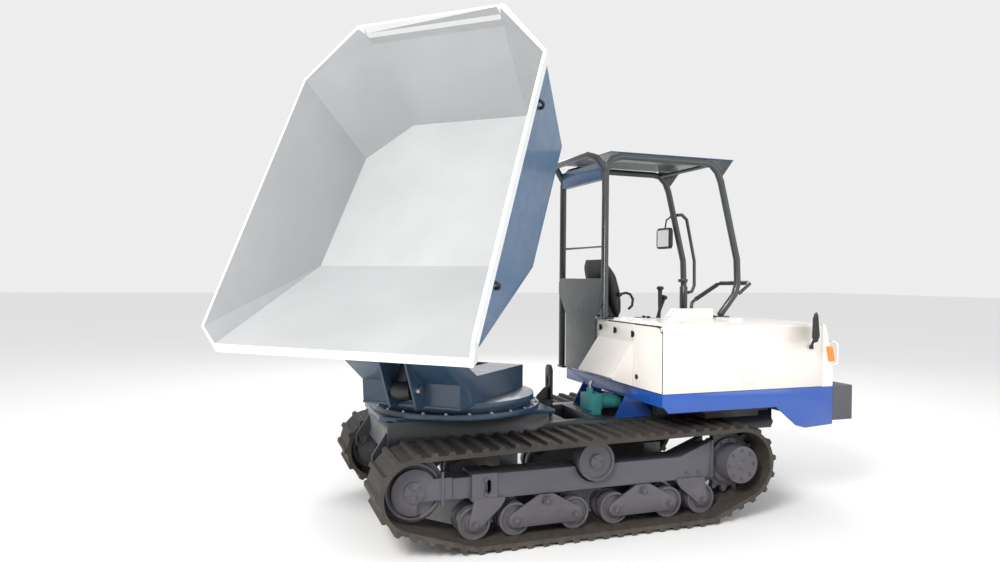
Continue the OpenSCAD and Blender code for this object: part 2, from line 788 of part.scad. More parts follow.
module engine_hood() {
    side_top = hood_top_z - 26;
    color("white") {
        // Side panel and top panel, joined by a sloped edge.
        plate_yz([[-half_w, deck_z + hood_gap], [-half_w, side_top],
                  [-half_w + 8, hood_top_z - 8], [-half_w + 26, hood_top_z],
                  [bulkhead_y - hood_gap, hood_top_z],
                  [bulkhead_y - hood_gap, hood_top_z - hood_t],
                  [-half_w + 28, hood_top_z - hood_t],
                  [-half_w + 11, hood_top_z - 11], [-half_w + hood_t, side_top - 2],
                  [-half_w + hood_t, deck_z + hood_gap]],
                 hood_rear_x + hood_gap, hood_front_x);
        // Raised caps on the top panel.
        translate([440, -150, hood_top_z - 1]) cylinder(h = 19, r1 = 62, r2 = 46);
        translate([1010, -520, hood_top_z - 1]) cube([90, 150, 26]);
        // Hinge bar along the front edge.
        disc_y(hood_front_x - 5, hood_top_z - 6, 5, -half_w + 60, bulkhead_y - 30);
    }
}

module hood_latch() {
    color("black") {
        block([948, -half_w - 7, 840], [1052, -half_w - 0.6, 894]);
        // Pivot pin along the top edge.
        translate([944, -half_w - 4.5, 896]) rotate([0, 90, 0]) cylinder(h = 112, r = 3);
    }
}

module rear_cover() {
    y0 = -415;
    y1 = 71;
    color("white") difference() {
        union() {
            block([hood_rear_x - 9, y0, deck_z + 6], [hood_rear_x - 1, 90, hood_top_z - 10]);
            block([hood_rear_x - 7, -half_w + 6, deck_z + 6], [hood_rear_x - 1, y0 + 1,
                   hood_top_z - 12]);
            // The lower half stands out over the pump.
            plate_xz([[hood_rear_x - 8, 1072], [236, 852], [250, 838],
                      [hood_rear_x - 8, deck_z + 6]], y0 + 20, y1);
        }
        plate_xz([[hood_rear_x + 1, 1060], [250, 856], [hood_rear_x + 1, deck_z + 16]],
                 y0 + 24, y1 - 4);
    }
}

module front_cowl() {
    x0 = hood_front_x + 4;
    profile = [[x0, deck_z], [x0, hood_top_z - 40], [x0, hood_top_z - 4],
               [x0 + 20, hood_top_z - 6], [x0 + 36, hood_top_z - 40],
               [cowl_front_x, deck_z + 160], [cowl_front_x, deck_z]];
    inner = [[x0 - 1, deck_z - 1], [x0 - 1, hood_top_z - 12], [x0 + 14, hood_top_z - 13],
             [x0 + 27, hood_top_z - 42], [cowl_front_x - 7, deck_z + 158],
             [cowl_front_x - 7, deck_z - 1]];
    color("white") {
        difference() {
            plate_xz(profile, -half_w, half_w);
            plate_xz(inner, -half_w + 6, half_w - 6);
        }
        // Guard loop round the indicator.
        pipe([[1612, -half_w + 12, 1074], [1660, -half_w + 12, 1071],
              [1688, -half_w + 12, 1062], [1697, -half_w + 12, 1044],
              [1694, -half_w + 12, 936], [1684, -half_w + 12, 926],
              [cowl_front_x - 2, -half_w + 12, 924]], 5);
    }
}

module bumper_weight() {
    x0 = cowl_front_x + 2;
    x1 = 1822;
    color("slategray") {
        translate([0, 0, 571])
            linear_extrude(217)
                polygon([[x0, -half_w], [x1 - 26, -half_w], [x1 - 7, -half_w + 9],
                         [x1, -half_w + 32], [x1, half_w - 32], [x1 - 7, half_w - 9],
                         [x1 - 26, half_w], [x0, half_w]]);
        block([cowl_front_x, -300, 600], [x0 + 1, 300, 760]);
    }
}

module engine() {
    color("dimgray") {
        block([760, -600, 640], [1240, -335, 960]);
        block([820, -580, 959], [1200, -350, 1070]);
        block([800, -560, 600], [1200, -360, 641]);
        // Feet on the bearer and on the deck's edge.
        for (x = [800, 1150]) {
            block([x, -336, deck_z - 6], [x + 50, -262, deck_z + 11]);
            block([x, -640, deck_z], [x + 50, -599, deck_z + 17]);
        }
        // Radiator, fan and shaft.
        block([1380, -640, deck_z], [1450, -100, 1160]);
        translate([1300, -467, 950]) rotate([0, 90, 0]) cylinder(h = 50, r = 150);
        translate([1239, -467, 950]) rotate([0, 90, 0]) cylinder(h = 142, r = 30);
        // Exhaust silencer.
        disc_y(900, 1110, 55, -610, -340);
    }
}

module hydraulic_pump() {
    y = -100;
    color("cadetblue") {
        block([200, y - 60, rail_z1 + 30], [300, y + 60, 716]);
        translate([299, y, 660]) rotate([0, 90, 0]) cylinder(h = 110, r = 48);
        block([220, y - 80, rail_z1], [280, y + 80, rail_z1 + 31]);
        translate([400, y, 660]) rotate([0, 90, 0]) cylinder(h = 40, r = 51);
        translate([240, y, 715]) cylinder(h = 34, r = 22);
    }
}

// ---- operator's station -----------------------------------------------------

console_y1 = 148;
console_top = hood_top_z;
lever_x = 843;
lever_z = console_top - 42;
drive_lever_y = 40;
tip_lever_y = 88;

module console() {
    color("white") {
        difference() {
            block([hood_rear_x + 2, bulkhead_y, deck_z], [hood_front_x, console_y1, console_top]);
            block([hood_rear_x + 8, bulkhead_y + 6, deck_z - 1],
                  [hood_front_x - 6, console_y1 - 6, console_top - 6]);
            for (y = [drive_lever_y, tip_lever_y])
                block([lever_x - 40, y - 11, console_top - 7], [lever_x + 55, y + 11, console_top + 1]);
        }
        plate_xz([[868, console_top - 1], [925, console_top + 66], [1228, console_top + 66],
                  [1228, console_top - 1]], -45, 25);
        // Pivot bar of the two levers.
        disc_y(lever_x, lever_z, 8, bulkhead_y + 3, console_y1 - 3);
    }
}

module lever(y, lean, l) {
    color("black") difference() {
        union() {
            disc_y(lever_x, lever_z, 16, y - 15, y + 15);
            translate([lever_x, y, lever_z])
                rotate([0, atan2(lean, l), 0]) {
                    cylinder(h = l - 10, r1 = 7, r2 = 15);
                    translate([0, 0, l - 12]) cylinder(h = 13, r1 = 16, r2 = 27);
                    translate([0, 0, l + 0.9]) cylinder(h = 14, r1 = 27, r2 = 19);
                }
        }
        disc_y(lever_x, lever_z, 8 + fit, y - 16, y + 16);
    }
}

module drive_lever() {
    lever(drive_lever_y, 6, 248);
}

module tip_lever() {
    lever(tip_lever_y, 70, 194);
}

seat_y0 = 165;
seat_y1 = 575;
seat_z = 1090;

module seat_base() {
    color("dimgray") {
        block([560, 158, deck_z], [1060, 640, 1020]);
        for (y = [230, 520]) block([660, y, 1020], [1040, y + 24, 1034]);
    }
}

module seat_cushion() {
    rails_z = 1034.5;
    color("black") {
        block([670, seat_y0 + 40, rails_z], [1040, seat_y1 - 40, seat_z - 20]);
        translate([0, 0, seat_z - 20])
            linear_extrude(100)
                offset(r = 30) offset(delta = -30)
                    polygon([[640, seat_y0], [1120, seat_y0], [1120, seat_y1], [640, seat_y1]]);
        // Hinge brackets of the backrest.
        for (y = [seat_y0 + 60, seat_y1 - 80])
            plate_xz([[575, 1080], [700, 1050], [700, 1090], [620, 1130], [575, 1130]], y, y + 20);
        disc_y(600, 1105, 12, seat_y0 + 50, seat_y1 - 50);
    }
}

module seat_backrest() {
    back_y0 = seat_y0 + 15;
    back_y1 = seat_y1 - 30;
    color("black") difference() {
        union() {
            intersection() {
                plate_xz([[562, 1190], [640, 1185], [655, 1210], [650, 1306], [642, 1375],
                          [607, 1483], [562, 1552], [514, 1592], [482, 1590], [465, 1560],
                          [520, 1330]], back_y0, back_y1);
                plate_yz([[back_y0, 1150], [back_y1, 1150], [back_y1, 1500],
                          [back_y1 - 22, 1566], [back_y1 - 80, 1600], [back_y0 + 80, 1600],
                          [back_y0 + 22, 1566], [back_y0, 1500]], 400, 700);
            }
            for (y = [seat_y0 + 82, seat_y1 - 102])
                plate_xz([[584, 1086], [616, 1086], [630, 1200], [590, 1200]], y, y + 20);
        }
        disc_y(600, 1105, 12 + fit, seat_y0 + 40, seat_y1 - 40);
    }
}

module armrest() {
    y = seat_y0 + 1;
    color("black") {
        disc_y(600, 1350, 14, y - 14, y + 13);
        pipe([[598, y, 1352], [650, y, 1362], [684, y, 1352], [706, y, 1318],
              [700, y, 1272], [672, y, 1248]], 9);
    }
}

module roof_side(y, foot) {
    pipe(concat(foot, [[1448, y, 1353], [1473, y, 1430], [1465, y, 1607], [1322, y, 2160],
                       [1290, y, 2230], [1240, y, 2276], [1188, y, roof_z - 4],
                       [520, y, roof_z], [448, y, 2268], [410, y, 2222], [post_x, y, 2160]]),
         post_r);
}

module rops_frame() {
    color("darkslategray") {
        roof_side(post_y0, [[1325, post_y0, console_top + 17]]);
        pipe([[1473, post_y1, deck_z + 12], [1473, post_y1, 1430], [1465, post_y1, 1607],
              [1322, post_y1, 2160], [1290, post_y1, 2230], [1240, post_y1, 2276],
              [1188, post_y1, roof_z - 4], [520, post_y1, roof_z], [448, post_y1, 2268],
              [410, post_y1, 2222], [post_x, post_y1, 2160], [post_x, post_y1, deck_z + 12]],
             post_r);
        rod([post_x, post_y0, console_top + 12], [post_x, post_y0, 2168], post_r);
        // Foot plates.
        for (p = [[1325, post_y0, console_top], [post_x + 22, post_y0, console_top],
                  [1473, post_y1 - 20, deck_z], [post_x + 22, post_y1 - 20, deck_z]])
            translate(p - [46, 48, 0]) cube([92, 96, 13]);
        // Sleeve and clamp collar of the left-hand front post.
        translate([1473, post_y1, 1180]) cylinder(h = 222, r = 31);
        translate([1466, post_y1, 1436]) cylinder(h = 26, r = 38);
        // Guard hoop behind the roof.
        pipe([[post_x, post_y0, 2190], [335, post_y0 + 10, 2272], [312, post_y0 + 80, 2300],
              [312, post_y1 - 80, 2300], [335, post_y1 - 10, 2284], [post_x, post_y1, 2190]], 23);
        rod([post_x, post_y0 + 20, 1680], [post_x, post_y1 - 20, 1680], 8);
        rod([1240, post_y0, 2276], [1240, post_y1, 2276], 14);
        // Gussets at the front corners.
        for (y = [post_y0 - 4, post_y1 - 4])
            plate_xz([[1290, 2200], [1326, 2190], [1420, 2313], [1230, 2313], [1230, 2280]],
                     y, y + 8);
    }
}

module rops_roof() {
    color("darkslategray") {
        block([430, post_y0 - 8, roof_z + post_r + 0.5], [1425, post_y1 + 8, roof_z + post_r + 7]);
        block([post_x - 20, post_y0 + 26, 2132], [post_x + 24, post_y1 - 26, 2250]);
    }
}

module back_panel() {
    color("dimgray")
        plate_yz([[86, deck_z + 17], [560, deck_z + 17], [562, 1199], [687, 1343],
                  [687, 1430], [664, 1460], [-6, 1460], [-14, 1440], [-14, 1293],
                  [86, 1193]], post_x - post_r - 5, post_x - post_r - 1);
}

module handrails() {
    rail_r = 13;
    color("darkslategray") {
        // Grab handle on the left-hand front post.
        pipe([[1402, post_y1, 1976], [1450, post_y1, 1980], [1496, post_y1, 1943],
              [1572, post_y1, 1609], [1574, post_y1, 1411], [1552, post_y1, 1362],
              [1513, post_y1, 1352]], rail_r);
        // Rail in front of the operator.
        pipe([[1488, post_y0, 1361], [1578, post_y0, 1430], [1592, post_y0 + 30, 1438],
              [1600, 380, 1432], [1588, 404, 1420], [1384, 404, 1302], [1360, 404, 1280],
              [1350, 404, 1200], [1350, 404, deck_z]], rail_r);
    }
}

module mirror_left() {
    y = post_y1 + 40;
    color("black") {
        rod([1378, y, 1968], [1332, y, 1937], 6);
        rod([1332, y, 1939], [1318, y, 1860], 6);
        disc_y(1378, 1968, 12, y - 15, y + 8);
        translate([1302, y, 1788])
            rotate([90, 0, 90])
                linear_extrude(28)
                    offset(r = 34) square([128, 100], center = true);
    }
}

module mirror_right() {
    pin = [1462, -half_w - 13, 1031];
    color("black") {
        // The head stands nearly edge-on to the hood's side.
        translate([1428, -half_w - 85, 0])
            rotate([90, 0, -43.2])
                translate([0, 0, -78]) mirror_head();
        rod([1440, -half_w - 66, 1108], pin + [0, 0, 20], 8);
        translate(pin) cylinder(h = 24, r = 12);
    }
}

// Side view of a mirror's head, 156 wide.
module mirror_head() {
    linear_extrude(156)
        polygon([[-22, 1116], [-19, 1226], [-9, 1258], [4, 1266], [13, 1244], [22, 1124],
                 [10, 1088], [-10, 1082]]);
}

module indicator_lamp() {
    color("orange") {
        plate_xz([[1594, 1043], [1610, 949], [1654, 949], [1632, 1043]],
                 -half_w - 12, -half_w - 0.2);
        plate_xz([[1624.5, 1043], [1647, 949], [1654, 949], [1632, 1043]],
                 -half_w - 1, -half_w + 29);
    }
}

track_frame(right);  // track_frame_right
track_frame(left);  // track_frame_left
track_belt(right);  // track_belt_right
track_belt(left);  // track_belt_left
idler(right);  // idler_right
idler(left);  // idler_left
idler_yokes();
sprocket(right);  // sprocket_right
sprocket(left);  // sprocket_left
drive_motors();
carrier_roller(right);  // carrier_roller_right
carrier_roller(left);  // carrier_roller_left
bogie(right, 0);  // bogie_rear_right
bogie(right, 1);  // bogie_front_right
bogie(left, 0);  // bogie_rear_left
bogie(left, 1);  // bogie_front_left
for (i = [1:6]) {
    roller(right, i);
    roller(left, i);
}
chassis_frame();
side_frame();
slew_ring();
lifting_plate();
turntable();
pivot_pins();
cylinder_barrel();
cylinder_rod();
skip_shell();
skip_subframe();
lashing_hooks();
engine_hood();
hood_latch();
rear_cover();
front_cowl();
bumper_weight();
engine();
hydraulic_pump();
console();
drive_lever();
tip_lever();
seat_base();
seat_cushion();
seat_backrest();
armrest();
rops_frame();
rops_roof();
back_panel();
handrails();
mirror_left();
mirror_right();
indicator_lamp();
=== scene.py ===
import json
import math

import bmesh
import bpy
from mathutils import Matrix, Vector


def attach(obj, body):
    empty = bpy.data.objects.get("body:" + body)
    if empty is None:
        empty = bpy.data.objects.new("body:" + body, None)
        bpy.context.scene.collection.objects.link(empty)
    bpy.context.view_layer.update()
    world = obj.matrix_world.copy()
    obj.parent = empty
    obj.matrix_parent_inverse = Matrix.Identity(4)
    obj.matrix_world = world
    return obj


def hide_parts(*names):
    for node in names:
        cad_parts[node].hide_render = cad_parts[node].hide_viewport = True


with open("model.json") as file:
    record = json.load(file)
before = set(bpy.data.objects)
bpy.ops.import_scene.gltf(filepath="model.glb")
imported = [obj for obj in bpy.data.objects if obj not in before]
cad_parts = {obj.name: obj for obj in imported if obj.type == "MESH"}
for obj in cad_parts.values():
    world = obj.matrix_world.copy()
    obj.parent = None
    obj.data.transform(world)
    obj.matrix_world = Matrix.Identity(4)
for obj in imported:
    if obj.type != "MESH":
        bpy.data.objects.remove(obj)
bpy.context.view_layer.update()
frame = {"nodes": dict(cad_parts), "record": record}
nodes = frame["nodes"]

# ---- camera and light ------------------------------------------------------

CAMERA_AT = Vector((-1.9275, -4.37405, 1.46563))
YAW, PITCH, ROLL = (math.radians(a) for a in (-19.79, -0.31, 0.48))
FOCAL_PX = 730.13
PICTURE_W = 1000
SENSOR = 36.0

forward = Vector((-math.sin(YAW) * math.cos(PITCH), math.cos(YAW) * math.cos(PITCH), math.sin(PITCH)))
level_right = Vector((math.cos(YAW), math.sin(YAW), 0))
level_up = level_right.cross(forward)
right = math.cos(ROLL) * level_right + math.sin(ROLL) * level_up
up = -math.sin(ROLL) * level_right + math.cos(ROLL) * level_up
camera_data = bpy.data.cameras.new("camera")
camera_data.sensor_width = SENSOR
camera_data.lens = FOCAL_PX / PICTURE_W * SENSOR
camera = bpy.data.objects.new("camera", camera_data)
bpy.context.scene.collection.objects.link(camera)
turn = Matrix((right, up, -forward)).transposed()
camera.matrix_world = Matrix.Translation(CAMERA_AT) @ turn.to_4x4()
bpy.context.scene.camera = camera


def area_light(name, at, aim, size, watts, colour=(1, 1, 1)):
    data = bpy.data.lights.new(name, "AREA")
    data.size = size
    data.energy = watts
    data.color = colour
    light = bpy.data.objects.new(name, data)
    light.location = at
    light.rotation_euler = (Vector(aim) - Vector(at)).to_track_quat("-Z", "Y").to_euler()
    bpy.context.scene.collection.objects.link(light)


AMBIENT = 0.85
area_light("key", (-5.0, -5.2, 5.5), (0.0, 0.0, 1.0), 2.5, 640, (1.0, 0.985, 0.96))
area_light("fill", (4.5, -6.0, 3.0), (0.5, 0.0, 1.0), 4.0, 90)
area_light("back", (2.5, 6.0, 5.0), (0.0, 0.0, 1.2), 4.0, 180)
world = bpy.data.worlds.new("studio")
bpy.context.scene.world = world
world.use_nodes = True
world.node_tree.nodes["Background"].inputs["Color"].default_value = (1, 1, 1, 1)
world.node_tree.nodes["Background"].inputs["Strength"].default_value = AMBIENT
bpy.context.scene.view_settings.view_transform = "Standard"

# ---- materials ---------------------------------------------------------------


class Graph:
    """A small builder for a material's nodes."""

    def __init__(self, name):
        self.material = bpy.data.materials.new(name)
        self.material.use_nodes = True
        self.tree = self.material.node_tree
        self.shader = self.tree.nodes["Principled BSDF"]
        self.place = self.add("ShaderNodeTexCoord").outputs["Object"]

    def add(self, kind, **settings):
        node = self.tree.nodes.new(kind)
        for key, value in settings.items():
            setattr(node, key, value)
        return node

    def link(self, source, target):
        self.tree.links.new(source, target)

    def noise(self, scale, detail=4.0, roughness=0.55, stretch=(1, 1, 1)):
        node = self.add("ShaderNodeTexNoise")
        node.inputs["Scale"].default_value = scale
        node.inputs["Detail"].default_value = detail
        node.inputs["Roughness"].default_value = roughness
        where = self.place
        if stretch != (1, 1, 1):
            mapping = self.add("ShaderNodeMapping")
            mapping.inputs["Scale"].default_value = stretch
            self.link(self.place, mapping.inputs["Vector"])
            where = mapping.outputs["Vector"]
        self.link(where, node.inputs["Vector"])
        return node.outputs["Fac"]

    def ramp(self, value, low, high, to_low=0.0, to_high=1.0):
        node = self.add("ShaderNodeMapRange")
        node.clamp = True
        for key, number in zip(("From Min", "From Max", "To Min", "To Max"), (low, high, to_low, to_high)):
            node.inputs[key].default_value = number
        self.link(value, node.inputs["Value"])
        return node.outputs["Result"]

    def mix(self, factor, a, b):
        node = self.add("ShaderNodeMix", data_type="RGBA")
        self.link(factor, node.inputs["Factor"])
        for socket, colour in ((node.inputs[6], a), (node.inputs[7], b)):
            if isinstance(colour, tuple):
                socket.default_value = (*colour, 1)
            else:
                self.link(colour, socket)
        return node.outputs[2]

    def multiply(self, a, b):
        node = self.add("ShaderNodeMath", operation="MULTIPLY")
        for socket, value in zip(node.inputs, (a, b)):
            if isinstance(value, (int, float)):
                socket.default_value = value
            else:
                self.link(value, socket)
        return node.outputs[0]

    def height(self):
        node = self.add("ShaderNodeSeparateXYZ")
        self.link(self.place, node.inputs[0])
        return node.outputs["Z"]

    def bump(self, value, strength, distance):
        node = self.add("ShaderNodeBump")
        node.inputs["Strength"].default_value = strength
        node.inputs["Distance"].default_value = distance
        self.link(value, node.inputs["Height"])
        before = self.shader.inputs["Normal"].links
        if before:
            self.link(before[0].from_socket, node.inputs["Normal"])
        self.link(node.outputs["Normal"], self.shader.inputs["Normal"])


COAT_ROUGHNESS = 0.12


def tone(colour, factor):
    return tuple(min(1.0, c * factor) for c in colour)


def finish_of(name, colour, rough=(0.35, 0.5), metal=0.0, coat=0.0, patches=3.0, contrast=0.12,
              grain=0.0, grain_scale=400.0, grain_depth=0.0005, dust=0.0, dust_colour=(0.35, 0.32, 0.28),
              dust_top=0.9, chips=0.0, chip_colour=(0.3, 0.29, 0.28)):
    """Paint, metal, plastic or rubber with uneven tone, uneven gloss, grain, dust low down and chips."""
    g = Graph(name)
    cloud = g.noise(patches, 6.0, 0.6)
    spread = g.ramp(cloud, 0.3, 0.7)
    shade = g.mix(spread, tone(colour, 1 - contrast), tone(colour, 1 + contrast * 0.6))
    if dust:
        low = g.ramp(g.height(), 0.0, dust_top, dust, 0.0)
        speck = g.ramp(g.noise(22.0, 8.0, 0.7), 0.35, 0.65)
        shade = g.mix(g.multiply(low, speck), shade, dust_colour)
    if chips:
        spot = g.ramp(g.noise(38.0, 10.0, 0.75), 0.66, 0.69, 0.0, chips)
        shade = g.mix(spot, shade, chip_colour)
    g.link(shade, g.shader.inputs["Base Color"])
    g.link(g.ramp(g.noise(patches * 4, 5.0), 0.3, 0.7, rough[0], rough[1]), g.shader.inputs["Roughness"])
    g.shader.inputs["Metallic"].default_value = metal
    g.shader.inputs["Coat Weight"].default_value = coat
    g.shader.inputs["Coat Roughness"].default_value = COAT_ROUGHNESS
    if grain:
        g.bump(g.noise(grain_scale, 3.0), grain, grain_depth)
    return g.material


track_paint = finish_of("track_paint", (0.075, 0.072, 0.088), (0.4, 0.6), grain=0.25, grain_scale=260,
                        dust=0.4, dust_top=0.35, chips=0.5, chip_colour=(0.16, 0.15, 0.14),
                        dust_colour=(0.16, 0.14, 0.13))
wheel_paint = finish_of("wheel_paint", (0.07, 0.067, 0.08), (0.35, 0.55), grain=0.3, grain_scale=180,
                        dust=0.45, dust_top=0.4, chips=0.6, chip_colour=(0.2, 0.18, 0.17),
                        dust_colour=(0.16, 0.14, 0.13))
belt_rubber = finish_of("belt_rubber", (0.035, 0.029, 0.025), (0.6, 0.85), contrast=0.3, patches=9,
                        grain=0.5, grain_scale=120, grain_depth=0.001,
                        dust=0.5, dust_colour=(0.10, 0.08, 0.065), dust_top=0.6)
chassis_paint = finish_of("chassis_paint", (0.016, 0.018, 0.022), (0.35, 0.5), coat=0.2, grain=0.1, dust=0.2,
                          dust_colour=(0.08, 0.08, 0.08))
turntable_paint = finish_of("turntable_paint", (0.024, 0.056, 0.10), (0.35, 0.5), coat=0.3, grain=0.12,
                            grain_scale=150)
skip_inside = finish_of("skip_inside", (0.42, 0.43, 0.44), (0.4, 0.55), coat=0.15, patches=1.6, contrast=0.08,
                        grain=0.08, grain_scale=90, chips=0.2, chip_colour=(0.3, 0.31, 0.32))
skip_rim = finish_of("skip_rim", (0.78, 0.80, 0.82), (0.35, 0.5), coat=0.3, contrast=0.05)
skip_outside = finish_of("skip_outside", (0.04, 0.115, 0.235), (0.35, 0.5), coat=0.3,
                         grain=0.08, grain_scale=90)
skirt_paint = finish_of("skirt_paint", (0.010, 0.075, 0.36), (0.25, 0.38), coat=0.5, contrast=0.08)
cream_paint = finish_of("cream_paint", (0.84, 0.79, 0.74), (0.25, 0.4), coat=0.5, patches=1.2, contrast=0.04,
                        grain=0.05, grain_scale=60)
weight_paint = finish_of("weight_paint", (0.075, 0.08, 0.095), (0.45, 0.6), grain=0.4, grain_scale=220)
black_paint = finish_of("black_paint", (0.012, 0.012, 0.013), (0.35, 0.5), grain=0.1)
frame_paint = finish_of("frame_paint", (0.032, 0.038, 0.042), (0.3, 0.42), coat=0.3, grain=0.06)
roof_blue = finish_of("roof_blue", (0.03, 0.09, 0.2), (0.3, 0.45), coat=0.3, grain=0.06)
steel = finish_of("steel", (0.42, 0.42, 0.43), (0.25, 0.4), metal=1.0, contrast=0.15,
                  grain=0.1, grain_scale=300)
chrome = finish_of("chrome", (0.75, 0.75, 0.76), (0.05, 0.12), metal=1.0, contrast=0.03)
iron = finish_of("iron", (0.03, 0.03, 0.033), (0.5, 0.7), grain=0.5, grain_scale=160)
pump_paint = finish_of("pump_paint", (0.05, 0.30, 0.30), (0.4, 0.55), grain=0.3, grain_scale=180)
vinyl = finish_of("vinyl", (0.010, 0.010, 0.011), (0.38, 0.5),
                  grain=0.35, grain_scale=700, grain_depth=0.0003)
plastic = finish_of("plastic", (0.012, 0.012, 0.013), (0.4, 0.55), grain=0.2, grain_scale=500)
lamp_plastic = finish_of("lamp_plastic", (0.95, 0.25, 0.01), (0.15, 0.25), coat=0.6, contrast=0.1)

LOOKS = {
    "track_grey": track_paint, "belt_rubber": belt_rubber, "roller_steel": wheel_paint,
    "chassis_black": chassis_paint, "turntable_blue": turntable_paint, "skip_light": skip_inside,
    "skip_blue": skip_outside, "skirt_blue": skirt_paint, "hood_cream": cream_paint,
    "weight_grey": weight_paint, "black_paint": black_paint, "frame_grey": frame_paint, "steel": steel,
    "rod_chrome": chrome, "engine_iron": iron, "pump_teal": pump_paint, "seat_vinyl": vinyl,
    "tank_black": plastic, "black_plastic": plastic, "lamp_orange": lamp_plastic,
}
for part in frame["record"]["subparts"]:
    mesh = nodes[part["node"]].data
    mesh.materials.clear()
    mesh.materials.append(LOOKS[part["material_slot"]])

# The skip is light inside, white along its rim and blue outside. Its faces are sorted in its own level
# frame, with z upwards and x towards the end where it is hinged.
SLEW_X = -0.641
SKIP_SLEWED = 227
SKIP_TIPPED = 56.5
HINGE_ON_TABLE = (0.918, 0, 1.147)
HINGE_TO_SKIP = (-0.560, 0, -0.165)
RIM_Z = 0.657
RIM_BAND = 0.052
RIM_EDGE = 0.03
LIP_X = -0.95
SKIP_MIDDLE = Vector((-0.1, 0, 0.5))
INSIDE, RIM, OUTSIDE = 0, 1, 2


def rim_height(x):
    """Height of the skip's rim, which slopes along the sides and rises to a lip at one end."""
    if x < LIP_X:
        return RIM_Z + 0.075 * min(1.0, (-x - 0.9) / 0.33)
    return RIM_Z - 0.0722 * (x + 0.903)


skip_space = (Matrix.Translation((SLEW_X, 0, 0)) @ Matrix.Rotation(math.radians(SKIP_SLEWED), 4, "Z")
              @ Matrix.Translation(HINGE_ON_TABLE) @ Matrix.Rotation(math.radians(SKIP_TIPPED), 4, "Y")
              @ Matrix.Translation(HINGE_TO_SKIP))
to_skip = skip_space.inverted()
shell = nodes["skip_shell"].data
shell.materials.append(skip_rim)
shell.materials.append(skip_outside)
for face in shell.polygons:
    at = to_skip @ face.center
    facing = to_skip.to_3x3() @ face.normal
    top = rim_height(at.x)
    inward = facing.dot(SKIP_MIDDLE - at) > 0 and at.z < top - RIM_EDGE
    on_rim = at.z > top - RIM_BAND or (at.x > 0.66 and at.z > 0.36)
    if inward and not (at.x > 0.76 and facing.x > 0.3):
        face.material_index = INSIDE
    elif on_rim:
        face.material_index = RIM
    else:
        face.material_index = OUTSIDE

# The roof sheet and sun visor are blue above; faces that point down keep the part's dark slot as painted
# shade under the roof.
roof = nodes["rops_roof"].data
roof.materials.append(roof_blue)
for face in roof.polygons:
    face.material_index = 0 if face.normal.z < -0.5 else 1

# Rounded edges and smooth round faces. The belts stay as they are, and the skip's sheets stay flat.
THIN_SHEETS = ("engine_hood", "front_cowl", "rear_cover", "hood_latch")
THIN_EDGE = 0.0015
EDGE = 0.002
WELD_DISTANCE = 0.00002
for name, node_obj in nodes.items():
    if name.startswith("track_belt"):
        continue
    for face in node_obj.data.polygons:
        face.use_smooth = name != "skip_shell"
    weld = node_obj.modifiers.new("weld", "WELD")
    weld.merge_threshold = WELD_DISTANCE
    bevel = node_obj.modifiers.new("edge", "BEVEL")
    bevel.width = THIN_EDGE if name in THIN_SHEETS else EDGE
    bevel.segments = 2
    bevel.limit_method = "ANGLE"
    bevel.angle_limit = math.radians(60 if name == "skip_shell" else 32)
    bevel.harden_normals = True

# ---- added pieces --------------------------------------------------------------

class Build:
    """Collects small shapes into one piece."""

    def __init__(self):
        self.bm = bmesh.new()

    def prism(self, at, axis, radius, height, sides=6, top=None):
        turn = Vector(axis).to_track_quat("Z", "Y").to_matrix().to_4x4()
        place = Matrix.Translation(Vector(at) + Vector(axis).normalized() * height / 2) @ turn
        bmesh.ops.create_cone(self.bm, cap_ends=True, segments=sides, radius1=radius,
                              radius2=radius if top is None else top, depth=height, matrix=place)

    def bolt(self, at, axis, size=0.009):
        """A washer with a hexagon head on it."""
        out = Vector(axis).normalized()
        self.prism(at, axis, size * 1.5, size * 0.25, 20)
        self.prism(Vector(at) + out * size * 0.25, axis, size, size * 0.7, 6, size * 0.93)

    def box(self, low, high):
        middle = (Vector(low) + Vector(high)) / 2
        scale = Matrix.Diagonal((*(Vector(high) - Vector(low)), 1))
        bmesh.ops.create_cube(self.bm, size=1.0, matrix=Matrix.Translation(middle) @ scale)

    def tube(self, path, radius, sides=12):
        for a, b in zip(path, path[1:]):
            a, b = Vector(a), Vector(b)
            self.prism(a, b - a, radius, (b - a).length, sides)
            bmesh.ops.create_uvsphere(self.bm, u_segments=sides, v_segments=8, radius=radius,
                                      matrix=Matrix.Translation(b))

    def done(self, name, material, body, smooth=35):
        mesh = bpy.data.meshes.new(name)
        self.bm.to_mesh(mesh)
        self.bm.free()
        for face in mesh.polygons:
            face.use_smooth = True
        mesh.set_sharp_from_angle(angle=math.radians(smooth))
        mesh.materials.append(material)
        obj = bpy.data.objects.new(name, mesh)
        bpy.context.scene.collection.objects.link(obj)
        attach(obj, body)


def ring(centre, axis, radius, count, first=0.0):
    """Points round a circle about an axis, in metres."""
    turn = Vector(axis).to_track_quat("Z", "Y").to_matrix()
    for k in range(count):
        a = first + 2 * math.pi * k / count
        yield Vector(centre) + turn @ Vector((radius * math.cos(a), radius * math.sin(a), 0))


# Undercarriage: places along the machine (x) and above the ground (z), and distances outwards from the
# middle of the belt.
TRACK_Y = 0.559
IDLER_X, IDLER_Z = -1.05, 0.333
SPROCKET_X, SPROCKET_Z = 0.951, 0.342
TOP_ROLLER_X, TOP_ROLLER_Z = 0, 0.4225
ROLLER_Z = 0.1345
END_ROLLERS_X = (-0.717, 0.725)
BOGIES = (("rear", -0.302), ("front", 0.314))
BOGIE_PIN_Z = 0.2265
BOGIE_ROLLER = 0.179
FACE_OUT = 0.088
ROLLER_OUT = 0.096
DRUM_OUT = 0.168

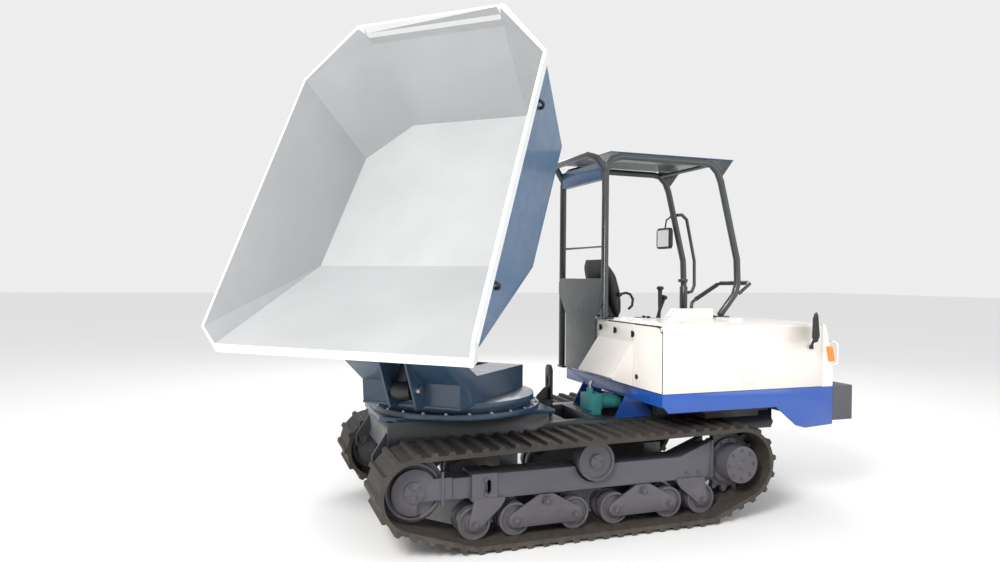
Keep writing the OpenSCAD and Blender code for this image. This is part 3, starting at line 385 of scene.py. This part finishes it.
for side, sign in (("right", -1), ("left", 1)):
    out = (0, sign, 0)

    def outer(x, across, z):
        return (x, sign * (TRACK_Y + across), z)

    fixed = Build()
    for at in ring(outer(IDLER_X, FACE_OUT, IDLER_Z), out, 0.038, 4, 0.6):
        fixed.bolt(at, out, 0.008)
    fixed.bolt(outer(IDLER_X, FACE_OUT, IDLER_Z), out, 0.011)
    for x in END_ROLLERS_X:
        fixed.bolt(outer(x, ROLLER_OUT, ROLLER_Z), out, 0.013)
    for _, x in BOGIES:
        fixed.bolt(outer(x, 0.098, BOGIE_PIN_Z), out, 0.014)
    for x, z in ((-0.66, 0.29), (-0.66, 0.37), (0.62, 0.30), (0.70, 0.30)):
        fixed.bolt(outer(x, FACE_OUT if x < 0 else 0.078, z), out, 0.009)
    fixed.done("fixed_bolts_" + side, track_paint, "chassis")
    for which, middle in BOGIES:
        rocking = Build()
        for dx in (-BOGIE_ROLLER, BOGIE_ROLLER):
            rocking.bolt(outer(middle + dx, ROLLER_OUT, ROLLER_Z), out, 0.013)
        rocking.done("bogie_bolts_%s_%s" % (which, side), track_paint, "bogie_body_%s_%s" % (which, side))
    driven = Build()
    for at in ring(outer(SPROCKET_X, DRUM_OUT, SPROCKET_Z), out, 0.088, 8):
        driven.bolt(at, out, 0.008)
    for at in ring(outer(SPROCKET_X, 0.046, SPROCKET_Z), out, 0.126, 12):
        driven.bolt(at, out, 0.007)
    driven.prism(outer(SPROCKET_X, DRUM_OUT, SPROCKET_Z), out, 0.03, 0.006, 24, 0.026)
    driven.done("drive_bolts_" + side, wheel_paint, "sprocket_body_" + side)
    idle = Build()
    for at in ring(outer(TOP_ROLLER_X, 0.118, TOP_ROLLER_Z), out, 0.026, 3):
        idle.bolt(at, out, 0.006)
    idle.done("top_roller_bolts_" + side, wheel_paint, "carrier_body_" + side)

RING_BOLT_TOP = 0.697
RING_BOLT_RADIUS = 0.5
RING_BOLTS = 24
ring_bolts = Build()
for at in ring((SLEW_X, 0, RING_BOLT_TOP), (0, 0, 1), RING_BOLT_RADIUS, RING_BOLTS, math.radians(7.5)):
    ring_bolts.bolt(at, (0, 0, 1), 0.009)
ring_bolts.done("ring_bolts", steel, "chassis")

# Rear cover: rubber edge, three catches along the top and one low down.
COVER_X = 0.3849
catches = Build()
for y, z in ((0.03, 1.135), (-0.17, 1.128), (-0.395, 1.12)):
    catches.prism((COVER_X, y, z), (-1, 0, 0), 0.017, 0.006, 20)
    catches.box((0.371, y - 0.004, z - 0.02), (0.38, y + 0.004, z + 0.02))
catches.prism((0.3869, -0.44, 0.86), (-1, 0, 0), 0.015, 0.006, 20)
catches.done("cover_catches", plastic, "chassis")
edging = Build()
edging.tube([(0.389, y, z) for y, z in ((-0.06, 1.183), (-0.66, 1.1815), (-0.7, 1.172), (-0.712, 1.15))],
            0.004)
edging.done("cover_edging", plastic, "chassis")

# Elbow on the pump, and the plate under the levers with a round boss at each.
elbow = Build()
elbow.tube([(0.24, -0.1, 0.748), (0.24, -0.1, 0.775), (0.252, -0.1, 0.788)], 0.013)
elbow.done("pump_elbow", steel, "chassis")
lever_plate = Build()
lever_plate.box((0.70, -0.02, 1.1902), (0.798, 0.14, 1.1935))
for y in (0.03, 0.09):
    lever_plate.prism((0.75, y, 1.193), (0, 0, 1), 0.012, 0.012, 24)
lever_plate.done("lever_plate", plastic, "chassis")

# Black grip on the operator's front rail.
GRIP_R = 0.0165
grip = Build()
grip.tube([(1.394, 0.404, 1.3077), (1.588, 0.404, 1.42)], GRIP_R, 20)
grip.tube([(1.5999, 0.37, 1.4322), (1.5921, 0.05, 1.438)], GRIP_R, 20)
grip.done("rail_grip", plastic, "chassis")

# Glass of the left mirror.
glass = Build()
glass.box((1.3005, 0.645, 1.722), (1.3025, 0.805, 1.854))
glass.done("mirror_glass", chrome, "mirror_l")


# ---- seat ------------------------------------------------------------------------

ROWS, COLUMNS = 44, 40
EDGE_POWER = 5
CROWN = 0.07
CHANNELS = (-0.62, 0.62)
CHANNEL_WIDTH = 0.035
CHANNEL_DEPTH = 0.005


def upholstered(name, spine, centre_y, half_y, body, taper, lie_flat):
    """A crowned, closed cushion. spine is a list of (along, low face, high face) in metres; its sides and
    ends pull in, and two sewn channels run along it."""
    bm = bmesh.new()

    def between(v, k):
        for a, b in zip(spine, spine[1:]):
            if v <= b[0] + 1e-9:
                t = (v - a[0]) / (b[0] - a[0])
                return a[k] + (b[k] - a[k]) * max(0.0, t)
        return spine[-1][k]

    grid = {}
    first, last = spine[0][0], spine[-1][0]
    for face in (0, 1):
        for i in range(ROWS + 1):
            q = -math.cos(math.pi * i / ROWS)
            v = first + (last - first) * (q + 1) / 2
            low, high = between(v, 1), between(v, 2)
            end = math.sqrt(max(0.0, 1 - abs(q) ** EDGE_POWER))
            width = half_y * (1 - taper * max(0.0, (q - 0.3) / 0.7) ** 2) * (1 - 0.05 * abs(q) ** 4)
            for j in range(COLUMNS + 1):
                u = -math.cos(math.pi * j / COLUMNS)
                swell = math.sqrt(max(0.0, 1 - abs(u) ** EDGE_POWER)) * end
                crown = 1 - CROWN + CROWN * (1 - u * u) * (1 - q * q)
                channel = sum(math.exp(-((u - c) / CHANNEL_WIDTH) ** 2) for c in CHANNELS)
                depth = (high - low) / 2 * swell * crown - CHANNEL_DEPTH * channel * swell
                if (i in (0, ROWS) or j in (0, COLUMNS)) and face:
                    grid[face, i, j] = grid[0, i, j]
                    continue
                middle = (low + high) / 2
                across = middle + (depth if face else -depth)
                y = centre_y + width * u
                at = (v, y, across) if lie_flat else (across, y, v)
                grid[face, i, j] = bm.verts.new(at)
    for face in (0, 1):
        for i in range(ROWS):
            for j in range(COLUMNS):
                steps = ((i, j), (i + 1, j), (i + 1, j + 1), (i, j + 1))
                corner = [grid[face, a, b] for a, b in steps]
                bm.faces.new(corner if face else corner[::-1])
    bmesh.ops.recalc_face_normals(bm, faces=bm.faces)
    mesh = bpy.data.meshes.new(name)
    bm.to_mesh(mesh)
    bm.free()
    for face in mesh.polygons:
        face.use_smooth = True
    mesh.materials.append(vinyl)
    obj = bpy.data.objects.new(name, mesh)
    bpy.context.scene.collection.objects.link(obj)
    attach(obj, body)
    return obj


seat_pad = upholstered("seat_pad", [(0.641, 1.072, 1.160), (0.80, 1.071, 1.160), (1.03, 1.071, 1.168),
                                    (1.119, 1.074, 1.160)], 0.370, 0.204, "seat", 0.05, True)
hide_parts("seat_cushion")
seat_pan = Build()
seat_pan.box((0.671, 0.206, 1.0347), (1.039, 0.534, 1.078))
for y in (0.225, 0.495):
    seat_pan.box((0.577, y, 1.082), (0.70, y + 0.02, 1.112))
seat_pan.prism((0.60, 0.215, 1.105), (0, 1, 0), 0.0118, 0.31, 24)
seat_pan.done("seat_pan", plastic, "seat")
back_pad = upholstered("back_pad", [(1.187, 0.563, 0.640), (1.23, 0.552, 0.654), (1.31, 0.526, 0.650),
                                    (1.375, 0.511, 0.642), (1.483, 0.486, 0.607), (1.552, 0.468, 0.563),
                                    (1.598, 0.478, 0.520)], 0.3625, 0.182, "backrest", 0.22, False)
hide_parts("seat_backrest")
back_arms = Build()
for y in (0.247, 0.473):
    back_arms.box((0.590, y, 1.088), (0.612, y + 0.02, 1.24))
back_arms.done("back_arms", plastic, "backrest")

# ---- floor -------------------------------------------------------------------

SPAN = 60.0
floor_mesh = bpy.data.meshes.new("floor")
floor_corners = [(-SPAN, -SPAN, 0), (SPAN, -SPAN, 0), (SPAN, SPAN, 0), (-SPAN, SPAN, 0)]
floor_mesh.from_pydata(floor_corners, [], [(0, 1, 2, 3)])
floor = bpy.data.objects.new("floor", floor_mesh)
bpy.context.scene.collection.objects.link(floor)
floor_paint = finish_of("floor_paint", (0.86, 0.86, 0.86), (0.7, 0.8), contrast=0.01, patches=0.3)
floor_mesh.materials.append(floor_paint)
